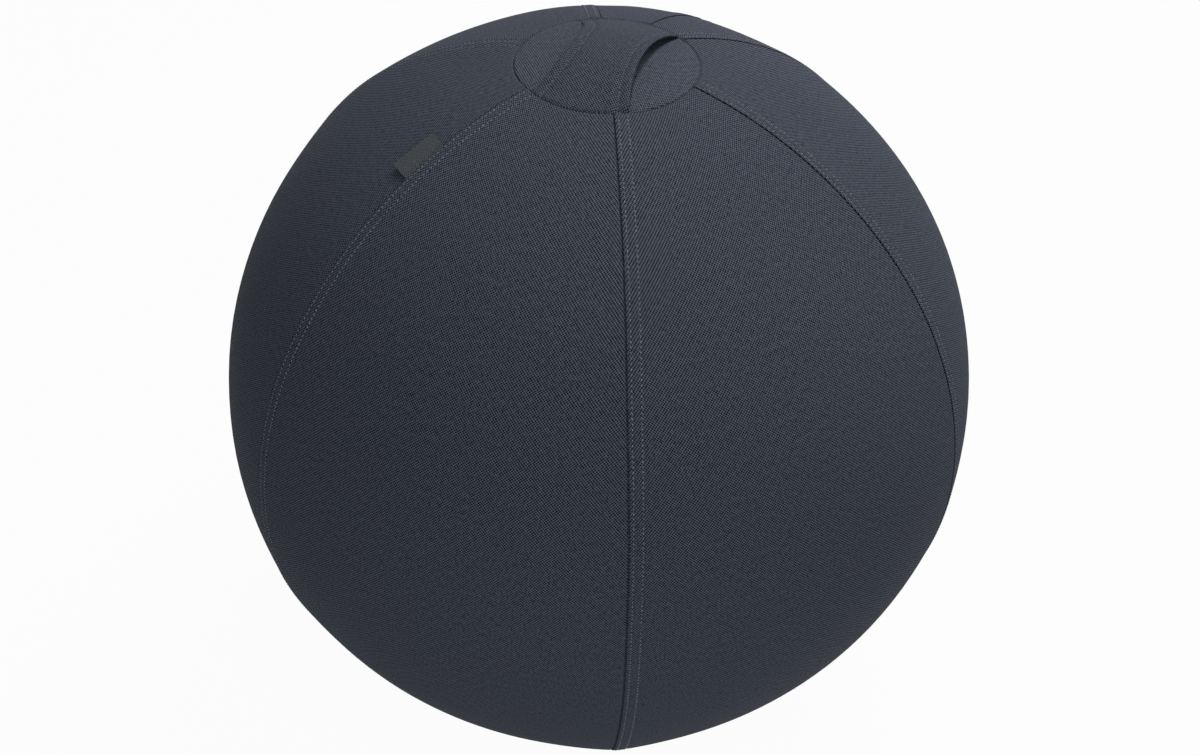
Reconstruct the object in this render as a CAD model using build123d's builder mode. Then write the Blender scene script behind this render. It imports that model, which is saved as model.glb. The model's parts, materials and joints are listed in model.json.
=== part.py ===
from build123d import *
import os
from math import asin, ceil, cos, degrees, radians, sin, sqrt, tan

# Sitting ball: an inflated bladder in a sewn cloth cover of six gores, with a disc at each pole,
# a carry strap over the top disc, a zip down the middle of the back gore and ballast in the base.
# Millimetres, +Z up. The origin is the middle of the base, on the floor. The zip is at +Y and
# azimuth is counted from the front, -Y, towards +X. Polar angles are counted down from the top.

# Ball and cover
ball_diameter = 650.0
flat_radius = 56.0
disc_radius = 72.0
cloth = 1.2
strips_per_half_gore = 2
seam_gap = 0.3
ply_gap = 0.25
gore_names = (
    "gore_back_left",
    "gore_front_left",
    "gore_front",
    "gore_front_right",
    "gore_back_right",
)

# Lapped seams: each gore's folded edge lies over its neighbour
lap_width = 12.0
lap_taper = 3.0
lap_plies = 2
fold_bevel = 0.7

# Zip in the back gore, below a plain lapped edge
zip_top_margin = 115.0
zip_bottom_polar = 118.0
zip_gap = 9.4
placket_lap = 3.0
hem_width = 9.5
hem_taper = 3.0
tape_thickness = 0.6
tape_width = 13.0
coil_width = 2.4
coil_height = 2.0
coil_split = 1.4
stop_length = 5.0
run_gap = 0.3

# Zip slider and pull
slider_length = 12.0
slider_plate = 1.1
slider_flange = 1.0
slider_web = 0.9
bail_width = 2.4
bail_length = 7.0
bar_diameter = 1.6
bar_play = 0.4
pull_length = 25.0
pull_width = 6.4
pull_thickness = 1.4

# Carry strap
strap_lift = 9.5
strap_thickness = 2.2
strap_waist = 64.0
strap_end_width = 78.0
strap_edge_inset = 1.0
strap_turn = 6.0

# Label in the front left seam
label_polar = 29.7
label_length = 37.0
label_height = 17.0
label_thickness = 1.0
label_fold_offset = 1.0
label_rest_gap = 0.4

# Bladder and its valve
bladder_gap = 0.3
bladder_wall = 1.0
valve_azimuth = 165.0
valve_polar = 70.0
seat_flange_diameter = 26.0
seat_diameter = 15.0
seat_depth = 14.0
plug_head_diameter = 12.0
plug_diameter = 8.4
plug_length = 11.0
fit_gap = 0.15

# Ballast in the base
ballast_height = 20.0
pouch_cloth = 1.0

# Derived sizes
outer_radius = ball_diameter / 2
inner_radius = outer_radius - cloth
centre_height = sqrt(outer_radius**2 - flat_radius**2)
centre = (0, 0, centre_height)
gore_count = len(gore_names) + 1
gore_angle = 360 / gore_count
strips_per_gore = 2 * strips_per_half_gore
strip_angle = gore_angle / strips_per_gore
half_strip = strip_angle / 2
zip_seam_azimuth = 180 - gore_angle / 2
lap_height = lap_plies * cloth
core_radius = disc_radius / 2
tape_outer = inner_radius - ply_gap
tape_inner = tape_outer - tape_thickness
coil_inner = tape_outer + ply_gap
coil_outer = coil_inner + coil_height
coil_edge = coil_split / 2 + coil_width
disc_polar = degrees(asin(disc_radius / outer_radius))
zip_top_polar = disc_polar + degrees(zip_top_margin / outer_radius)
polar_axis_x = Axis(centre, (1, 0, 0))
polar_axis_y = Axis(centre, (0, 1, 0))


# Degrees of polar angle that an arc on the cover takes
def arc_angle(length):
    return degrees(length / outer_radius)


# Plane at the ball's centre whose X points at a polar angle below +X and whose Y is world +Y
def along_x(polar):
    out = (sin(radians(polar)), 0, cos(radians(polar)))
    return Plane(origin=centre, x_dir=out, z_dir=(-out[2], 0, out[0]))


# Plane at the ball's centre whose X points at a polar angle below +Y and whose Y is world -X
def along_y(polar):
    out = (0, sin(radians(polar)), cos(radians(polar)))
    return Plane(origin=centre, x_dir=out, z_dir=(0, -out[2], out[1]))


# Plane on the ball: Z is outward, X is towards higher azimuth and Y is up the meridian
def on_ball(azimuth, polar, radius):
    a, p = radians(azimuth), radians(polar)
    out = Vector(sin(p) * sin(a), -sin(p) * cos(a), cos(p))
    return Plane(origin=Vector(*centre) + out * radius, x_dir=(cos(a), sin(a), 0), z_dir=out)


# Vertical plane through the axis, turned from +X, with its normal towards higher azimuth
def meridian(angle, shift=0.0):
    normal = Vector(-sin(radians(angle)), cos(radians(angle)), 0)
    return Plane(origin=Vector(*centre) + normal * shift, z_dir=normal)


# One strip of a ball round the origin, curved from pole to pole only, its middle towards +X
def ball_strip(hollow):
    with BuildPart() as piece:
        with BuildSketch(Plane.XZ):
            Circle(outer_radius)
            Circle(hollow, mode=Mode.SUBTRACT)
            Rectangle(outer_radius, ball_diameter, align=(Align.MIN, Align.CENTER), mode=Mode.INTERSECT)
        extrude(amount=outer_radius * tan(radians(half_strip)) + cloth, both=True)
        split(bisect_by=Plane(origin=(0, 0, 0), z_dir=meridian(half_strip).z_dir), keep=Keep.BOTTOM)
        split(bisect_by=Plane(origin=(0, 0, 0), z_dir=meridian(-half_strip).z_dir), keep=Keep.TOP)
    return piece.part


with BuildPart() as filled_ball:
    with PolarLocations(0, gore_count * strips_per_gore):
        add(ball_strip(core_radius / 2))
    Cylinder(core_radius, 2 * core_radius)


# The ball of strips at another radius and height, cut off below a floor
def strip_ball(radius, centre_z, floor):
    with BuildPart() as piece:
        with Locations((0, 0, centre_z)):
            add(scale(filled_ball.part, by=radius / outer_radius, mode=Mode.PRIVATE))
        split(bisect_by=Plane.XY.offset(floor), keep=Keep.TOP)
    return piece.part


cover_outside = strip_ball(outer_radius, centre_height, 0)
cover_inside = strip_ball(inner_radius, centre_height, cloth)

# A gore from its own seam, towards +X, to the seam that laps over its far edge
lap_angle = degrees(asin(lap_width / disc_radius))
strip_count = strips_per_gore + 1 + ceil(lap_angle / strip_angle - 0.5)
seam_start_polar = degrees(asin(core_radius / outer_radius))
cover_strip = ball_strip(inner_radius)
with BuildPart() as gore:
    with Locations(centre):
        with PolarLocations(0, strip_count, 0, strip_angle * (strip_count - 1), endpoint=True):
            add(cover_strip)
    split(bisect_by=meridian(0, lap_width), keep=Keep.TOP)
    split(bisect_by=meridian(gore_angle, lap_width - seam_gap), keep=Keep.BOTTOM)
    with BuildSketch(along_x(seam_start_polar)):
        with BuildLine():
            Polyline(
                (outer_radius + ply_gap, 0),
                (outer_radius + lap_height - fold_bevel, 0),
                (outer_radius + lap_height, fold_bevel),
                (outer_radius + lap_height, lap_width),
                (outer_radius, lap_width + lap_taper),
                (outer_radius - cloth / 2, lap_width + lap_taper),
                (outer_radius - cloth / 2, lap_width),
                (outer_radius + ply_gap, lap_width),
                close=True,
            )
        make_face()
    revolve(axis=polar_axis_y, revolution_arc=180 - 2 * seam_start_polar)
    with Locations(centre):
        Cylinder(disc_radius + seam_gap, 2 * ball_diameter, mode=Mode.SUBTRACT)

os.makedirs("parts", exist_ok=True)


# Labels a piece and writes it under its own name
def keep_piece(piece, name):
    piece.part.label = name
    export_step(piece.part, f"parts/{name}.step")


# Turns a gore so that its own seam stands at an azimuth
def seam_turn(azimuth):
    return Location((0, 0, 0), (0, 0, azimuth - 90))


for step, name in enumerate(gore_names, 1):
    with BuildPart() as panel:
        with Locations(seam_turn(zip_seam_azimuth + gore_angle * step)):
            add(gore.part)
    keep_piece(panel, name)

# The back gore is two halves with turned hems either side of the zip, sewn together below it.
# Above the zip the left half's placket laps over the right half, as every seam laps.
slot_start_polar = zip_top_polar - arc_angle(2 * run_gap)
slot_end_polar = zip_bottom_polar + arc_angle(2 * run_gap)
placket_top = outer_radius + ply_gap + cloth
hem_start = zip_gap / 2
hem_end = hem_start + hem_width
for name, side in {"zip_gore_right": 1, "zip_gore_left": -1}.items():
    with BuildPart() as panel:
        with Locations(seam_turn(zip_seam_azimuth)):
            add(gore.part)
        middle = Plane(origin=(side * seam_gap / 2, 0, 0), z_dir=(side, 0, 0))
        split(bisect_by=middle, keep=Keep.TOP)
        with BuildSketch(along_y(seam_start_polar)):
            with BuildLine():
                Polyline(
                    (outer_radius - cloth / 2, -side * hem_start),
                    (outer_radius + cloth, -side * hem_start),
                    (outer_radius + cloth, -side * hem_end),
                    (outer_radius, -side * (hem_end + hem_taper)),
                    (outer_radius - cloth / 2, -side * (hem_end + hem_taper)),
                    close=True,
                )
            make_face()
        revolve(axis=polar_axis_x, revolution_arc=-(180 - 2 * seam_start_polar))
        with BuildSketch(along_y(slot_start_polar)):
            with Locations((outer_radius, 0)):
                Rectangle(4 * lap_height, zip_gap)
        revolve(axis=polar_axis_x, revolution_arc=slot_start_polar - slot_end_polar, mode=Mode.SUBTRACT)
        if side < 0:
            with BuildSketch(along_y(seam_start_polar)):
                with BuildLine():
                    Polyline(
                        (outer_radius + ply_gap, -placket_lap),
                        (placket_top, -placket_lap),
                        (placket_top, hem_start + cloth),
                        (outer_radius - cloth / 2, hem_start + cloth),
                        (outer_radius - cloth / 2, seam_gap),
                        (outer_radius + ply_gap, seam_gap),
                        close=True,
                    )
                make_face()
            revolve(axis=polar_axis_x, revolution_arc=seam_start_polar - slot_start_polar)
        with Locations(centre):
            Cylinder(disc_radius + seam_gap, 2 * ball_diameter, mode=Mode.SUBTRACT)
    keep_piece(panel, name)


# A bar of square section that runs along the zip between two polar angles
def zip_bar(name, inner, outer, near, far, start, end):
    with BuildPart() as bar:
        with BuildSketch(along_y(start)):
            with Locations(((inner + outer) / 2, -(near + far) / 2)):
                Rectangle(outer - inner, abs(far - near))
        revolve(axis=polar_axis_x, revolution_arc=-(end - start))
    keep_piece(bar, name)


stop_angle = arc_angle(stop_length)
coil_start = zip_top_polar + stop_angle + arc_angle(run_gap)
coil_end = zip_bottom_polar - stop_angle - arc_angle(run_gap)
for hand, side in {"right": 1, "left": -1}.items():
    near = side * coil_split / 2
    tape_far, coil_far = side * tape_width, side * coil_edge
    zip_bar(f"zip_tape_{hand}", tape_inner, tape_outer, near, tape_far, zip_top_polar, zip_bottom_polar)
    zip_bar(f"zip_coil_{hand}", coil_inner, coil_outer, near, coil_far, coil_start, coil_end)
stop_outer = coil_outer + slider_plate / 2
for name, start in {"zip_top_stop": zip_top_polar, "zip_bottom_stop": zip_bottom_polar - stop_angle}.items():
    zip_bar(name, coil_inner, stop_outer, -coil_edge, coil_edge, start, start + stop_angle)

# Slider, parked at the lower end of the closed zip: two plates joined by a web between the coils
slider_polar = zip_bottom_polar - stop_angle - arc_angle(run_gap + slider_length / 2)
slider_end_polar = zip_top_polar + stop_angle + arc_angle(run_gap + slider_length / 2)
slider_width = 2 * (coil_edge + run_gap + slider_flange)
plate_inner = coil_outer + run_gap
plate_outer = plate_inner + slider_plate
back_outer = tape_inner - run_gap
back_inner = back_outer - slider_plate
bar_radius = plate_outer + bar_diameter / 2 + bar_play + slider_plate / 2
bail_radius = bar_diameter / 2 + bar_play + slider_plate
flange_foot = tape_outer + run_gap
slider_plane = on_ball(180, slider_polar, 0)
with BuildPart() as slider:
    with BuildSketch(slider_plane.offset(back_inner)):
        RectangleRounded(slider_width, slider_length, slider_width / 4)
    extrude(amount=plate_outer - back_inner)
    with BuildSketch(slider_plane.offset(back_outer)):
        Rectangle(2 * slider_width, 2 * slider_length)
        Rectangle(slider_web, slider_length * 0.7, mode=Mode.SUBTRACT)
    extrude(amount=flange_foot - back_outer, mode=Mode.SUBTRACT)
    with BuildSketch(slider_plane.offset(flange_foot)):
        Rectangle(slider_width - 2 * slider_flange, 2 * slider_length)
        Rectangle(slider_web, slider_length * 0.7, mode=Mode.SUBTRACT)
    extrude(amount=plate_inner - flange_foot, mode=Mode.SUBTRACT)
    bail_plane = Plane(origin=slider_plane.origin, x_dir=slider_plane.y_dir, z_dir=slider_plane.x_dir)
    with BuildSketch(bail_plane):
        with Locations((0, plate_outer)):
            Rectangle(bail_length, slider_plate, align=(Align.CENTER, Align.CENTER))
        with Locations((0, bar_radius)):
            Circle(bail_radius)
        make_hull()
        with Locations((0, bar_radius)):
            Circle(bar_diameter / 2 + bar_play, mode=Mode.SUBTRACT)
    extrude(amount=bail_width / 2, both=True)
keep_piece(slider, "zip_slider")

# Pull tab, hanging from a bar through the slider's bail
bar_point = slider_plane.origin + slider_plane.z_dir * bar_radius
pull_plane = Plane(origin=bar_point, x_dir=(1, 0, 0), z_dir=(0, 1, 0))
window_width = bail_width + 2 * run_gap + bar_play
window_length = sqrt((bail_length / 2) ** 2 + (bar_radius - plate_outer + slider_plate) ** 2)
with BuildPart() as pull:
    with BuildSketch(pull_plane):
        with Locations((0, pull_length / 2 - bar_diameter / 2)):
            SlotOverall(pull_length, pull_width, rotation=90)
        with Locations((0, bar_diameter / 2)):
            Rectangle(window_width, window_length, align=(Align.CENTER, Align.MIN), mode=Mode.SUBTRACT)
        with Locations((0, pull_length - pull_width / 2 - bar_diameter / 2)):
            Circle(pull_width / 4, mode=Mode.SUBTRACT)
    extrude(amount=pull_thickness / 2, both=True)
keep_piece(pull, "zip_pull")

# Top and base discs close the ring of gores. The base disc is flat where it rests on the floor.
for name, end in {"top_disc": Align.MIN, "base_disc": Align.MAX}.items():
    with BuildPart() as disc:
        add(cover_outside)
        add(cover_inside, mode=Mode.SUBTRACT)
        with Locations(centre):
            Cylinder(disc_radius, ball_diameter, align=(Align.CENTER, Align.CENTER, end), mode=Mode.INTERSECT)
    keep_piece(disc, name)

# Carry strap: an arched band, narrow in the middle, sewn down at both ends of the top disc
strap_reach = disc_radius - strap_edge_inset
strap_foot = sqrt(outer_radius**2 - strap_reach**2) + ply_gap
strap_crown = outer_radius + strap_lift
strap_rise = strap_crown - strap_foot
strap_radius = (strap_reach**2 + strap_rise**2) / (2 * strap_rise)
strap_centre = centre_height + strap_crown - strap_radius
strap_outside = strip_ball(strap_radius + strap_thickness, strap_centre, strap_centre)
strap_inside = strip_ball(strap_radius, strap_centre, strap_centre)
with BuildPart() as strap:
    add(strap_outside)
    add(strap_inside, mode=Mode.SUBTRACT)
    with BuildSketch(Plane.XY.offset(centre_height).rotated((0, 0, strap_turn))):
        with BuildLine():
            half_end, half_waist = strap_end_width / 2, strap_waist / 2
            ThreePointArc((half_end, -disc_radius), (half_waist, 0), (half_end, disc_radius))
            Line((half_end, disc_radius), (-half_end, disc_radius))
            ThreePointArc((-half_end, disc_radius), (-half_waist, 0), (-half_end, -disc_radius))
            Line((-half_end, -disc_radius), (half_end, -disc_radius))
        make_face()
    extrude(amount=2 * outer_radius, mode=Mode.INTERSECT)
    Cylinder(strap_reach, 4 * ball_diameter, mode=Mode.INTERSECT)
keep_piece(strap, "carry_strap")

# Label: a folded tab caught in the seam left of the front gore, lying on the cloth beside it
label_azimuth = zip_seam_azimuth + gore_angle * (gore_names.index("gore_front") + 1)
label_plane = on_ball(label_azimuth, label_polar, outer_radius)
with BuildPart() as label_tab:
    with BuildSketch(label_plane.offset(label_rest_gap)):
        with Locations((-label_fold_offset, 0)):
            Rectangle(label_height, label_length, align=(Align.MAX, Align.CENTER))
    extrude(amount=label_thickness)
keep_piece(label_tab, "label_tab")

# Ballast: a cloth pouch of granulate on the base disc, and the bladder's flat rests on it
bladder_radius = inner_radius - bladder_gap
pouch_bottom = cloth + ply_gap
pouch_top = pouch_bottom + ballast_height


# The ballast's space, drawn in by a margin on every side
def ballast_space(margin):
    with BuildPart() as piece:
        add(strip_ball(bladder_radius - margin, centre_height, pouch_bottom + margin))
        split(bisect_by=Plane.XY.offset(pouch_top - margin), keep=Keep.BOTTOM)
    return piece.part


with BuildPart() as pouch:
    add(ballast_space(0))
    add(ballast_space(pouch_cloth), mode=Mode.SUBTRACT)
keep_piece(pouch, "ballast_pouch")

with BuildPart() as granulate:
    add(ballast_space(pouch_cloth + ply_gap))
keep_piece(granulate, "ballast_granulate")

# Bladder: hollow, resting on the ballast, with a dent behind the zip and a hole for its valve
bladder_floor = pouch_top + ply_gap
dent_depth_radius = back_inner - run_gap
dent_half_width = tape_width + 2 * run_gap
dent_start = zip_top_polar - arc_angle(stop_length)
dent_end = zip_bottom_polar + arc_angle(stop_length)
valve_plane = on_ball(valve_azimuth, valve_polar, bladder_radius)
dents = []
for wall in (0, bladder_wall):
    with BuildPart() as dent:
        floor_radius = dent_depth_radius - wall
        with BuildSketch(along_y(dent_start - arc_angle(wall))):
            with Locations((floor_radius, 0)):
                Rectangle(
                    outer_radius - floor_radius,
                    2 * (dent_half_width + wall),
                    align=(Align.MIN, Align.CENTER),
                )
        revolve(axis=polar_axis_x, revolution_arc=-(dent_end - dent_start + 2 * arc_angle(wall)))
    dents.append(dent.part)

with BuildPart() as cavity:
    add(strip_ball(bladder_radius - bladder_wall, centre_height, bladder_floor + bladder_wall))
    add(dents[1], mode=Mode.SUBTRACT)
with BuildPart() as bladder:
    add(strip_ball(bladder_radius, centre_height, bladder_floor))
    add(dents[0], mode=Mode.SUBTRACT)
    add(cavity.part, mode=Mode.SUBTRACT)
    with Locations(valve_plane):
        Cylinder(seat_diameter / 2 + fit_gap, 4 * seat_depth, mode=Mode.SUBTRACT)
keep_piece(bladder, "bladder")

# Valve seat: a flange inside the bladder's wall with a tube for the plug
plug_seat = -bladder_wall
plug_head_thickness = bladder_wall - fit_gap
seat_top = plug_seat - fit_gap
flange_top = -bladder_wall - ply_gap - seat_flange_diameter**2 / (8 * bladder_radius)
with BuildPart() as valve_seat:
    with BuildSketch(valve_plane.offset(flange_top)):
        Circle(seat_flange_diameter / 2)
    extrude(amount=-bladder_wall)
    with BuildSketch(valve_plane.offset(seat_top)):
        Circle(seat_diameter / 2)
    extrude(amount=-seat_depth)
    with BuildSketch(valve_plane.offset(seat_top)):
        Circle(plug_diameter / 2 + fit_gap)
    extrude(amount=-seat_depth, mode=Mode.SUBTRACT)
keep_piece(valve_seat, "valve_seat")

# Valve plug: a head on the seat, level with the bladder, and a stem
with BuildPart() as valve_plug:
    with BuildSketch(valve_plane.offset(plug_seat)):
        Circle(plug_head_diameter / 2)
    extrude(amount=plug_head_thickness)
    with BuildSketch(valve_plane.offset(plug_seat)):
        Circle(plug_diameter / 2)
    extrude(amount=-plug_length)
keep_piece(valve_plug, "valve_plug")

# Places that the joints turn about
print("ball centre height", round(centre_height, 4))
print("zip travel", round(slider_polar - slider_end_polar, 3), "degrees from polar", round(slider_polar, 3))
print("pull bar", [round(v, 4) for v in bar_point])
hinge = label_plane.origin - label_plane.x_dir * label_fold_offset
hinge = hinge + label_plane.z_dir * (label_rest_gap + label_thickness / 2)
print("label hinge", [round(v, 4) for v in hinge], [round(v, 6) for v in label_plane.y_dir])
print("strap crown", round(centre_height + strap_crown, 3), "strap radius", round(strap_radius, 2))
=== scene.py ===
import json
from math import asin, cos, pi, radians, sin, sqrt
import bmesh
import bpy
import numpy as np
from mathutils import Matrix, Vector


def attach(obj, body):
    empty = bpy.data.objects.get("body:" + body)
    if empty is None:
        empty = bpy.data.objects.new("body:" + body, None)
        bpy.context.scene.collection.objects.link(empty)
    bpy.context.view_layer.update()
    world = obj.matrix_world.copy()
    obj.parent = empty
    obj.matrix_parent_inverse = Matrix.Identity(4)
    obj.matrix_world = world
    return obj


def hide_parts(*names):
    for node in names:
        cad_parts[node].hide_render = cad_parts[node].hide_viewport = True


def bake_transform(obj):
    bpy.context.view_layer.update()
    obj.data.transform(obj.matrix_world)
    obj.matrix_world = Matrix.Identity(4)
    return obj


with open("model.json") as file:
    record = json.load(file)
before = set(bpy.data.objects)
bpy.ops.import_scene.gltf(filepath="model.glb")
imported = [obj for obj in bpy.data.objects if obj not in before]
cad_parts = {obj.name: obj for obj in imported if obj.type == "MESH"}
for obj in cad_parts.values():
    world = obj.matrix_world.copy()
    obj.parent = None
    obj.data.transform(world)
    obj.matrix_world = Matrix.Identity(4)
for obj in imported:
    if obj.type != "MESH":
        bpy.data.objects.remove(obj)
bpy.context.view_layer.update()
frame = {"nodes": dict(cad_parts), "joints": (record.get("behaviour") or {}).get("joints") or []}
joints = {joint["name"]: joint for joint in frame["joints"]}
print("frame loaded")

mm = 0.001

# The inflated cover: its round, and how far the cloth leaves it between the seams
ball = {
    "radius": 325.0 * mm,
    "discRadius": 72.0 * mm,
    "goreCount": 6,
    "firstSeam": 30.0,   # degrees from the front, towards +X
    "seamProud": 1.8 * mm,
    "middleSunk": 0.8 * mm,
    "halfSunk": 0.2 * mm,   # between a seam and the zip
    "zipProud": 0.35 * mm,
    "lobeSharpness": 2.3,
    "halfSharpness": 3,
    "poleFade": 0.6,   # power by which the lobes flatten towards the discs
    "fuller": {1: 1.1 * mm, 3: -1.1 * mm, 4: -1.1 * mm},   # gores by their first seam, in the middle
    "ripple": 0.35 * mm,
    "swells": (   # seam and height, then place and spread from the top, in degrees
        (3, -1.8 * mm, 28, 16),
        (4, 1.4 * mm, 50, 22),
        (0, 1.5 * mm, 128, 18),
    ),
    "swellWidth": radians(9),
    "clothThickness": 0.4 * mm,
}
ballMiddle = Vector(joints["zip_travel"]["pos_m"])
goreAngle = 2 * pi / ball["goreCount"]
discPolar = asin(ball["discRadius"] / ball["radius"])
coverLength = ball["radius"] * (pi - 2 * discPolar)


def ballPoint(azimuth, polar, radius):   # azimuth from the front, polar from the top, in radians
    around = radius * np.sin(polar)
    rise = ballMiddle.z + radius * np.cos(polar)
    return np.stack(np.broadcast_arrays(around * np.sin(azimuth), -around * np.cos(azimuth), rise), axis=-1)


def smoothStep(low, high, value):
    share = np.clip((value - low) / (high - low), 0, 1)
    return share * share * (3 - 2 * share)


def keepObject(name, bm):
    mesh = bpy.data.meshes.new(name)
    bm.to_mesh(mesh)
    bm.free()
    obj = bpy.data.objects.new(name, mesh)
    bpy.context.scene.collection.objects.link(obj)
    return obj


def readPoints(obj):
    flat = np.zeros(3 * len(obj.data.vertices), np.float32)
    obj.data.vertices.foreach_get("co", flat)
    return flat.reshape(-1, 3).astype(float)


def smoothFaces(obj):
    obj.data.polygons.foreach_set("use_smooth", [True] * len(obj.data.polygons))
    obj.data.update()


def writePoints(obj, points):
    obj.data.vertices.foreach_set("co", points.astype(np.float32).ravel())
    smoothFaces(obj)


def setCut(obj, cut):   # keeps the flat cut of a cloth as its UV map, in metres
    corner = np.zeros(len(obj.data.loops), np.int32)
    obj.data.loops.foreach_get("vertex_index", corner)
    layer = obj.data.uv_layers.new(name="cut")
    layer.data.foreach_set("uv", cut[corner].astype(np.float32).ravel())


def addWall(obj, thickness):   # gives a cloth its thickness, with its cut edges kept sharp
    edges = np.zeros(len(obj.data.loops), np.int32)
    obj.data.loops.foreach_get("edge_index", edges)
    lone = np.bincount(edges, minlength=len(obj.data.edges)) == 1
    obj.data.attributes.new("sharp_edge", "BOOLEAN", "EDGE").data.foreach_set("value", lone)
    wall = obj.modifiers.new("wall", "SOLIDIFY")
    wall.thickness = thickness
    wall.offset = -1


def flatGrid(name, look):   # a square from -1 to 1, to be laid as cloth
    bm = bmesh.new()
    bmesh.ops.create_grid(bm, x_segments=look["columns"], y_segments=look["rows"], size=1)
    obj = keepObject(name, bm)
    return obj, readPoints(obj)


def turnOutward(bm, middle):   # makes the faces of an open patch look away from a point
    bm.normal_update()
    face = max(bm.faces, key=lambda f: f.calc_area())
    if face.normal.dot(face.calc_center_median() - Vector(middle)) < 0:
        bmesh.ops.reverse_faces(bm, faces=bm.faces[:])


def vertexLine(points):   # a line of joined vertices, to be spun
    bm = bmesh.new()
    last = bmesh.ops.create_vert(bm, co=points[0])["vert"][0]
    for point in points[1:]:
        last = bmesh.ops.extrude_vert_indiv(bm, verts=[last])["verts"][0]
        last.co = point
    return bm


def spunProfile(profile, steps):   # pairs of radius and height, spun round the upright axis
    bm = vertexLine([(0, radius, height) for radius, height in profile])
    bmesh.ops.spin(bm, geom=bm.verts[:] + bm.edges[:], cent=(0, 0, 0), axis=(0, 0, 1), angle=2 * pi,
                   steps=steps, use_merge=True)
    bmesh.ops.remove_doubles(bm, verts=bm.verts[:], dist=1e-6)
    return bm


def repeatShape(name, bm, turns):   # one small shape, copied to every 3 by 4 placing in turns
    single = bpy.data.meshes.new(name)
    bm.to_mesh(single)
    bm.free()
    bm = bmesh.new()   # a fresh bmesh keeps each copy's vertices together
    bm.from_mesh(single)
    bpy.data.meshes.remove(single)
    corners = len(bm.verts)
    while len(bm.verts) < corners * len(turns):
        bmesh.ops.duplicate(bm, geom=bm.verts[:] + bm.edges[:] + bm.faces[:])
    bmesh.ops.delete(bm, geom=bm.verts[:][corners * len(turns):], context="VERTS")
    obj = keepObject(name, bm)
    shape = readPoints(obj)[:corners]
    placed = np.einsum("nij,vj->nvi", turns[:, :, :3], shape) + turns[:, None, :, 3]
    writePoints(obj, placed.reshape(-1, 3))
    return obj


def unit(vectors):
    return vectors / np.linalg.norm(vectors, axis=-1, keepdims=True)


# One stitch of sewing thread
thread = {
    "length": 1.9 * mm,
    "width": 1.0 * mm,
    "height": 0.8 * mm,
    "sunk": 0.1 * mm,
    "slant": 0.3,
    "segments": 6,
    "rings": 5,
}


def stitchTurns(points, along, outward, bit=thread):
    out = unit(outward)
    side = unit(np.cross(out, along))
    run = unit(np.cross(side, out) + bit["slant"] * side)
    side = np.cross(out, run)
    place = points - out * bit["sunk"]
    return np.stack((side * bit["width"], out * bit["height"], run * bit["length"], place), axis=-1)


def makeStitches(name, turns):
    bm = bmesh.new()
    bmesh.ops.create_uvsphere(bm, u_segments=thread["segments"], v_segments=thread["rings"], radius=0.5)
    return repeatShape(name, bm, turns)


def spunPatch(name, rowCount, columnCount):   # a patch of the round, by spinning a vertex down and then round
    bm = bmesh.new()
    top = ballMiddle + ball["radius"] * Vector((0, -sin(discPolar), cos(discPolar)))
    start = bmesh.ops.create_vert(bm, co=top)["vert"]
    drop = pi - 2 * discPolar
    bmesh.ops.spin(bm, geom=start, cent=ballMiddle, axis=(1, 0, 0), angle=drop, steps=rowCount - 1)
    arc = bm.verts[:] + bm.edges[:]
    bmesh.ops.spin(bm, geom=arc, cent=ballMiddle, axis=(0, 0, 1), angle=goreAngle, steps=columnCount - 1)
    turnOutward(bm, ballMiddle)
    obj = keepObject(name, bm)
    at = readPoints(obj) - np.array(ballMiddle)
    polar = np.arccos(np.clip(at[:, 2] / ball["radius"], -1, 1))
    azimuth = np.arctan2(at[:, 0], -at[:, 1])
    row = np.rint((polar - discPolar) / drop * (rowCount - 1)).astype(int)
    column = np.rint(azimuth / goreAngle * (columnCount - 1)).astype(int)
    return obj, row, column


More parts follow.
